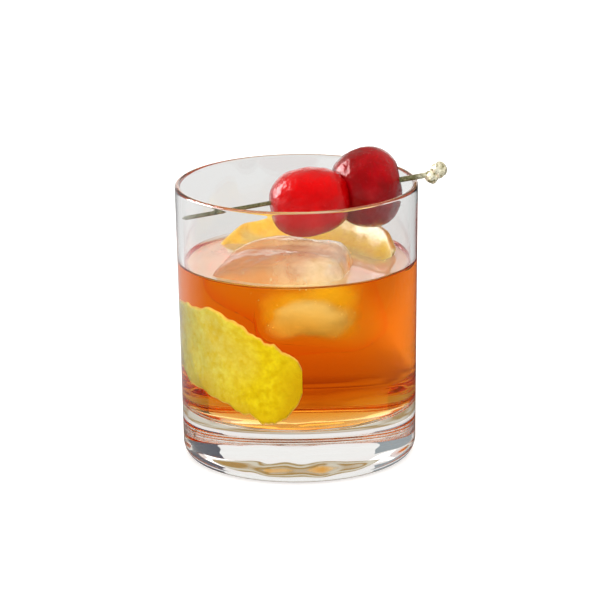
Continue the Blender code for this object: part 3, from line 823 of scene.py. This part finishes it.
def makeCherry(side, name, node):
    # A fuller ellipsoid with slow lumps, a dent at each end where the pick goes through and fine
    # wrinkles along the normals; the right one is pressed in where it meets the left one
    c, shape = cherrySettings, cherrySettings[side]
    along, across, upright = pickAxes()[1:4]
    d = ballOf(np.linspace(0.015, math.pi - 0.015, c["rows"])[:, None], c["columns"])[..., [2, 0, 1]]
    full = (np.abs(d) ** shape["fullness"]).sum(-1) ** (-1 / shape["fullness"])
    turn = shape["turn"]
    lump = np.sin(3.2 * d[..., 1] + turn) * np.cos(2.4 * d[..., 2] + turn)
    lump = lump + 0.5 * np.sin(4.2 * d[..., 0] + 3.1 * d[..., 2] + turn)
    outer = d[..., 0] * (-1 if side == "left" else 1)
    dimple = np.exp(-((np.arccos(outer.clip(-1, 1)) / c["dimpleWidth"]) ** 2))
    size = full + shape["lump"] * lump * (1 - dimple) - c["dimpleDepth"] * dimple
    local = d * size[..., None] * np.array(shape["half"])
    local[..., 0] *= np.where(outer < 0, shape["inner"], 1)
    # the solid's own axes: first along the pick, second across, third down to up
    centre = np.array(shape["centre"])
    place = centre + local[..., :1] * along + local[..., 1:2] * across + local[..., 2:] * upright
    fine = c["wrinkles"] * waves(place, 14, 5.0, shape["seed"])
    fine = fine + c["skin"] * waves(place, 16, 1.5, shape["seed"] + 1)
    place = place + gridNormals(place) * fine[..., None]
    if side == "right":
        # pushed along the line between the two cherries, just far enough to be outside the left
        # one; each point's push is found by halving
        left = c["left"]
        facing = centre - np.array(left["centre"])
        facing /= np.linalg.norm(facing)
        axes = np.stack([along, across, upright], -1) / np.array(left["half"])
        low, high = np.zeros(place.shape[:-1]), np.full(place.shape[:-1], c["mostPush"])
        for _ in range(c["halvings"]):
            middle = (low + high) / 2
            q = (place + middle[..., None] * facing - np.array(left["centre"])) @ axes
            inside = (np.abs(q) ** left["fullness"]).sum(-1) < c["room"] ** left["fullness"]
            low, high = np.where(inside, middle, low), np.where(inside, high, middle)
        place = place + (high * (high > 0.001))[..., None] * facing
    points, faces = closedGrid(place)
    material = cherryMaterial("cherrySkin" + side.title(), *shape["colours"])
    return makePiece(name, points, faces, material, node)


# Studio
studioSettings = {
    "ambient": (0.62, 0.58, 0.52), "ambientFront": (0.32, 0.32, 0.32), "through": (0.92, 0.91, 0.89),
    "floorHalf": 5.0, "floorDrop": 0.00005, "floorSeen": 0.93, "floorGlow": 0.25,
    "floorThrough": (0.80, 0.795, 0.785), "floorShadowRing": (0.42, 0.28, 0.13),
    "floorLeftLight": 0.45, "floorRightLight": 0.12,
    "floorUnderLight": (0.66, 0.62, 0.52), "floorUnderShade": (0.40, 0.26, 0.10),
    "mirrorFront": 0.02, "mirrorLeft": 0.66, "mirrorRight": 0.06,
}
cameraSettings = {"elevation": 15.83, "roll": -0.75, "distance": 1.3, "lens": 229.6, "sensor": 36.0,
                  "target": (0.000755, 0.0, 0.05302)}
lampSettings = {
    "backLow": {"at": (-0.1, 1.3, 0.14), "look": (0, 0, 0.07), "size": (1.2, 0.28), "radiance": 5.0},
    "back": {"at": (0.0, 1.3, 0.9), "look": (0, 0, 0.06), "size": (1.5, 0.9), "radiance": 1.5},
    "top": {"at": (0.0, 0.1, 1.5), "look": (0, 0, 0.06), "size": (1.6, 1.6), "radiance": 1.1},
    "low": {"at": (0.15, -1.3, 0.16), "look": (0, 0, 0.07), "size": (1.2, 0.28), "radiance": 8.5},
    "fill": {"at": (0.9, -0.9, 1.0), "look": (0, 0, 0.05), "size": (0.8, 0.8), "radiance": 2.0},
    "surfaceCard": {"at": (0.0, 0.14, 0.1115), "look": (0, 0, 0.1115), "size": (0.20, 0.045),
                    "radiance": 0.9, "mirrored": True, "through": True, "lights": False},
    "leftWindow": {"at": (-1.0, 0.25, 0.50), "look": (0, 0, 0.08), "size": (0.75, 0.85), "radiance": 19.0,
                   "mirrored": True, "lights": False},
    "key": {"at": (-0.5, -1.25, 0.6), "look": (0, 0, 0.05), "size": (1.1, 0.9), "radiance": 6.3},
}
cardSettings = {  # azimuth from straight behind, to the right, in degrees; distance, foot and top in metres
    "rightCard": {"from": 25, "to": 60, "distance": 0.27, "foot": 0.04, "top": 0.15,
                  "tone": (0.09, 0.095, 0.12)},
    "leftCard": {"from": -60, "to": -24, "distance": 0.27, "foot": 0.04, "top": 0.125,
                 "tone": (0.30, 0.34, 0.36)},
}


def makeWorld():
    # What each kind of ray meets beyond the stage
    s = studioSettings
    world = bpy.data.worlds.new("studio")
    bpy.context.scene.world = world
    world.use_nodes = True
    tree = world.node_tree
    tree.nodes.clear()
    rays = addNode(tree, "LightPath")
    way = addNode(tree, "TexCoord").outputs["Generated"]
    front = addNode(tree, "VectorMath", {0: way, 1: (0, -0.96, 0.28)}, operation="DOT_PRODUCT")
    front = rangeOf(tree, front.outputs["Value"], 0.30, 0.85)
    colour = mixOf(tree, front, s["ambient"], s["ambientFront"])
    colour = mixOf(tree, rays.outputs["Is Transmission Ray"], colour, s["through"])
    colour = mixOf(tree, rays.outputs["Is Camera Ray"], colour, (1, 1, 1))
    shade = addNode(tree, "Background", {"Color": colour, "Strength": 1.0})
    addNode(tree, "OutputWorld", {"Surface": shade.outputs[0]})


def makeFloor():
    # A wide pale table: lit for the camera, set tones for rays through the glass and for mirrored ones
    s = studioSettings
    material, tree, coords = newMaterial("paleTable")
    rays = addNode(tree, "LightPath")
    x, y, _ = addNode(tree, "SeparateXYZ", {0: coords}).outputs
    away = radiusOf(tree, x, y)
    tone = mixOf(tree, noiseOf(tree, coords, 12, 2.0), (s["floorSeen"],) * 3, (s["floorSeen"] - 0.01,) * 3)
    lit = addNode(tree, "BsdfDiffuse", {"Color": tone})
    glow = addNode(tree, "Emission", {"Color": (1, 1, 1, 1), "Strength": s["floorGlow"]})
    seen = addNode(tree, "AddShader", {0: lit.outputs[0], 1: glow.outputs[0]})
    # through the glass: painted light and shade in patches right under it, a painted shadow ring round it,
    # then an even tone
    paintedPatches = rangeOf(tree, noiseOf(tree, coords, 75, 2.0), 0.44, 0.56)
    under = mixOf(tree, paintedPatches, s["floorUnderLight"], s["floorUnderShade"])
    paintedRing = mixOf(tree, rangeOf(tree, away, 0.075, 0.095), under, s["floorShadowRing"])
    past = mathOf(tree, "MAXIMUM", rangeOf(tree, away, 0.075, 0.14), rangeOf(tree, x, 0.03, 0.05),
                  rangeOf(tree, x, -0.03, -0.05))
    throughTone = mixOf(tree, past, paintedRing, s["floorThrough"])
    # painted light: brighter to the left and right of the glass, up to 0.15 m behind it and gone by 0.21 m
    paintedGain = mathOf(tree, "ADD", rangeOf(tree, x, -0.055, -0.03, s["floorLeftLight"], 0.0),
                  rangeOf(tree, x, 0.03, 0.055, 0.0, s["floorRightLight"]))
    paintedGain = mathOf(tree, "MULTIPLY", paintedGain, rangeOf(tree, y, 0.15, 0.21, 1.0, 0.0))
    paintedGain = mathOf(tree, "ADD", paintedGain, 1.0)
    through = addNode(tree, "Emission", {"Color": throughTone, "Strength": paintedGain})
    # mirrored: a painted reflection, bright behind and to the left
    level = mathOf(tree, "MULTIPLY", rangeOf(tree, y, 0.0, 0.13),
                   rangeOf(tree, x, -0.02, 0.02, s["mirrorLeft"], s["mirrorRight"]))
    level = mathOf(tree, "ADD", level, s["mirrorFront"])
    mirrored = addNode(tree, "Emission", {"Color": (1, 1, 1, 1), "Strength": level})
    shader = addNode(tree, "MixShader", {0: rays.outputs["Is Glossy Ray"], 1: seen.outputs[0],
                                         2: mirrored.outputs[0]})
    shader = addNode(tree, "MixShader", {0: rays.outputs["Is Transmission Ray"], 1: shader.outputs[0],
                                         2: through.outputs[0]})
    addNode(tree, "OutputMaterial", {"Surface": shader.outputs[0]})
    material.cycles.emission_sampling = "NONE"
    corners = np.array([(-1, -1, 0), (1, -1, 0), (1, 1, 0), (-1, 1, 0)]) * s["floorHalf"]
    table = addMesh("table", corners - [0, 0, s["floorDrop"]], [(0, 1, 2, 3)], material)


def makeLamps():
    # Soft rectangles that face their target; power is radiance times pi times area. They only
    # light, unless they say that they are mirrored or seen through the glass
    for name, lamp in lampSettings.items():
        light = bpy.data.lights.new(name, "AREA")
        light.shape = "RECTANGLE"
        light.size, light.size_y = lamp["size"]
        light.energy = lamp["radiance"] * math.pi * lamp["size"][0] * lamp["size"][1]
        item = addObject(name, light)
        at, look = Vector(lamp["at"]), Vector(lamp["look"])
        turn = (look - at).to_track_quat("-Z", "Y").to_matrix().to_4x4()
        item.matrix_world = Matrix.Translation(at) @ turn
        item.visible_camera = False
        item.visible_glossy = lamp.get("mirrored", False)
        item.visible_transmission = lamp.get("through", False)
        item.visible_diffuse = lamp.get("lights", True)


def makeCards():
    # Upright curved cards that only rays through the glass meet: (d sin a, d cos a, z)
    for name, card in cardSettings.items():
        material, tree = newMaterial(name)[:2]
        tone = addNode(tree, "Emission", {"Color": (*card["tone"], 1), "Strength": 1.0})
        addNode(tree, "OutputMaterial", {"Surface": tone.outputs[0]})
        material.cycles.emission_sampling = "NONE"
        columns = 16
        a = np.radians(np.linspace(card["from"], card["to"], columns))
        z = np.array([[card["foot"]], [card["top"]]])
        d = card["distance"]
        grid = np.stack([d * np.sin(a) + 0 * z, d * np.cos(a) + 0 * z, z + 0 * a], -1)
        quads = [[i, i + 1, i + columns + 1, i + columns] for i in range(columns - 1)]
        item = addMesh(name, grid.reshape(-1, 3), quads, material)
        item.visible_camera = item.visible_diffuse = item.visible_shadow = item.visible_glossy = False


def makeCamera():
    # Looks down at the glass from the front, rolled a little
    c = cameraSettings
    e, roll = math.radians(c["elevation"]), math.radians(c["roll"])
    back = Vector((0, -math.cos(e), math.sin(e)))
    right = Vector((1, 0, 0))
    up = back.cross(right)
    camera = addObject("camera", bpy.data.cameras.new("camera"))
    camera.data.lens, camera.data.sensor_width = c["lens"], c["sensor"]
    x = math.cos(roll) * right + math.sin(roll) * up
    y = -math.sin(roll) * right + math.cos(roll) * up
    turn = Matrix((x, y, back)).transposed().to_4x4()
    camera.matrix_world = Matrix.Translation(Vector(c["target"]) + back * c["distance"]) @ turn
    bpy.context.scene.camera = camera


def setLook():
    # Plain colours, and enough bounces for light that runs round inside the glass
    view, cycles = bpy.context.scene.view_settings, bpy.context.scene.cycles
    view.view_transform, view.look = "Standard", "None"
    cycles.max_bounces, cycles.transmission_bounces, cycles.glossy_bounces = 40, 32, 28
    cycles.transparent_max_bounces = 64
    cycles.caustics_reflective = cycles.caustics_refractive = False


def main():
    print("glass")
    makeGlass()
    print("ice")
    makeIce()
    makeHeart()
    print("drink")
    makeDrink()
    print("peel")
    makeFrontPeel()
    makeBackPeel()
    print("pick and cherries")
    makePick()
    makeCherry("left", "cherryLeft", "cherry_left")
    makeCherry("right", "cherryRight", "cherry_right")
    print("studio")
    makeWorld()
    makeFloor()
    makeLamps()
    makeCards()
    makeCamera()
    setLook()


main()
